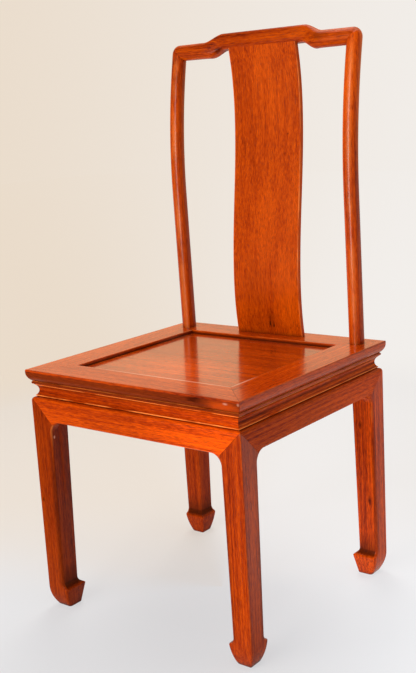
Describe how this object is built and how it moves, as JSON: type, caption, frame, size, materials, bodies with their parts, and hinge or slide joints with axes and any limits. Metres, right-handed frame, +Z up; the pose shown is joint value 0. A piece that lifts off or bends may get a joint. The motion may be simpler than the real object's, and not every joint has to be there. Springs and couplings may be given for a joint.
{
  "type": "side chair",
  "caption": "Armless wooden side chair with a stepped crest rail, round bowed posts, a curved back splat, a framed panel seat, a hollow waist, arched aprons and hoof feet.",
  "frame": {"origin": "on the floor, under the centre of the seat frame's plan", "axes": "+Z up, the chair's front towards -Y, +X to the right for one who faces its front"},
  "size_m": [0.48, 0.4697, 1.0436],
  "materials": {
    "rosewood": "satin lacquer",
    "figured_rosewood": "satin lacquer"
  },
  "bodies": {
    "root": {"crest_rail": "rosewood", "back_post_left": "rosewood", "back_post_right": "rosewood", "seat_frame_front": "rosewood", "seat_frame_back": "rosewood", "seat_frame_left": "rosewood", "seat_frame_right": "rosewood", "seat_batten_left": "rosewood", "seat_batten_right": "rosewood", "waist_front": "rosewood", "waist_back": "rosewood", "waist_left": "rosewood", "waist_right": "rosewood", "apron_front": "rosewood", "apron_back": "rosewood", "apron_left": "rosewood", "apron_right": "rosewood", "leg_front_left": "rosewood", "leg_front_right": "rosewood", "leg_rear_left": "rosewood", "leg_rear_right": "rosewood", "back_splat": "figured_rosewood", "seat_panel": "figured_rosewood"}
  },
  "joints": []
}
